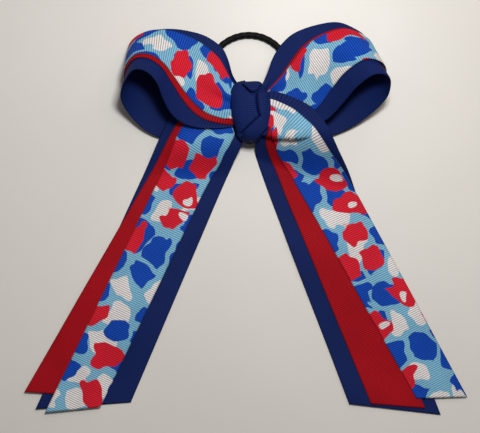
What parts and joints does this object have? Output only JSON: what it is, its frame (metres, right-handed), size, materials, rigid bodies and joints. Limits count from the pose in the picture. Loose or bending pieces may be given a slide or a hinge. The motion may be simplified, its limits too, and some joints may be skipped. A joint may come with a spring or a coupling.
{
  "type": "cheer hair bow",
  "caption": "Tied hair bow of stacked grosgrain ribbons with open loops, fanned tails and a round hair elastic through the back of its knot.",
  "frame": {"origin": "centre of the knot's flat back, which rests on the table", "axes": "+Z out of the bow's face, +X towards the right loop, +Y up, away from the tails"},
  "size_m": [0.2055, 0.1811, 0.0311],
  "materials": {
    "navy_grosgrain": "navy grosgrain ribbon with fine cross ribs and a flat selvedge",
    "red_grosgrain": "red grosgrain ribbon with fine cross ribs and a flat selvedge",
    "print_grosgrain": "light blue grosgrain ribbon printed with rounded patches in white, royal blue and red",
    "black_elastic": "black braided round elastic"
  },
  "bodies": {
    "knot": {"knot_core": "navy_grosgrain", "knot_front_wrap": "navy_grosgrain", "knot_top_fold": "navy_grosgrain", "knot_diagonal_band": "navy_grosgrain", "knot_back_band": "navy_grosgrain", "left_root_navy": "navy_grosgrain", "left_root_red": "red_grosgrain", "left_root_print": "print_grosgrain", "right_root_navy": "navy_grosgrain", "right_root_red": "red_grosgrain", "right_root_print": "print_grosgrain"},
    "hair_elastic": {"hair_elastic": "black_elastic", "elastic_splice": "black_elastic"},
    "left_loop": {"left_loop_navy": "navy_grosgrain", "left_loop_red": "red_grosgrain", "left_loop_print": "print_grosgrain"},
    "right_loop": {"right_loop_navy": "navy_grosgrain", "right_loop_red": "red_grosgrain", "right_loop_print": "print_grosgrain"},
    "left_tail_navy": {"left_tail_navy": "navy_grosgrain"},
    "left_tail_red": {"left_tail_red": "red_grosgrain"},
    "left_tail_print": {"left_tail_print": "print_grosgrain"},
    "right_tail_navy": {"right_tail_navy": "navy_grosgrain"},
    "right_tail_red": {"right_tail_red": "red_grosgrain"},
    "right_tail_print": {"right_tail_print": "print_grosgrain"}
  },
  "joints": [
    {"name": "elastic_swing", "type": "hinge", "parent": "knot", "child": "hair_elastic", "pos_m": [0, -0.001, 0.003], "axis": [1, 0, 0], "range_deg": [-110, 0]},
    {"name": "left_loop_swing", "type": "hinge", "parent": "knot", "child": "left_loop", "pos_m": [-0.009, 0.004, 0.008], "axis": [0, 0, 1], "range_deg": [-10, 0]},
    {"name": "right_loop_swing", "type": "hinge", "parent": "knot", "child": "right_loop", "pos_m": [0.009, 0.004, 0.008], "axis": [0, 0, 1], "range_deg": [0, 10]},
    {"name": "left_tail_navy_lift", "type": "hinge", "parent": "knot", "child": "left_tail_navy", "pos_m": [-0.03, -0.032, 0.0024], "axis": [-0.9075, 0.4202, 0], "range_deg": [0, 60]},
    {"name": "left_tail_red_lift", "type": "hinge", "parent": "knot", "child": "left_tail_red", "pos_m": [-0.03, -0.032, 0.0024], "axis": [-0.9075, 0.4202, 0], "range_deg": [0, 67.2]},
    {"name": "left_tail_print_lift", "type": "hinge", "parent": "knot", "child": "left_tail_print", "pos_m": [-0.03, -0.032, 0.0024], "axis": [-0.9075, 0.4202, 0], "range_deg": [0, 74.4]},
    {"name": "right_tail_navy_lift", "type": "hinge", "parent": "knot", "child": "right_tail_navy", "pos_m": [0.03, -0.047, 0.0024], "axis": [-0.9117, -0.4108, 0], "range_deg": [0, 60]},
    {"name": "right_tail_red_lift", "type": "hinge", "parent": "knot", "child": "right_tail_red", "pos_m": [0.03, -0.047, 0.0024], "axis": [-0.9117, -0.4108, 0], "range_deg": [0, 67.2]},
    {"name": "right_tail_print_lift", "type": "hinge", "parent": "knot", "child": "right_tail_print", "pos_m": [0.03, -0.047, 0.0024], "axis": [-0.9117, -0.4108, 0], "range_deg": [0, 74.4]}
  ],
  "couplings": [
    {"joint": "left_tail_red_lift", "follows": "left_tail_navy_lift", "ratio": 1.12},
    {"joint": "left_tail_print_lift", "follows": "left_tail_navy_lift", "ratio": 1.24},
    {"joint": "right_tail_red_lift", "follows": "right_tail_navy_lift", "ratio": 1.12},
    {"joint": "right_tail_print_lift", "follows": "right_tail_navy_lift", "ratio": 1.24}
  ]
}
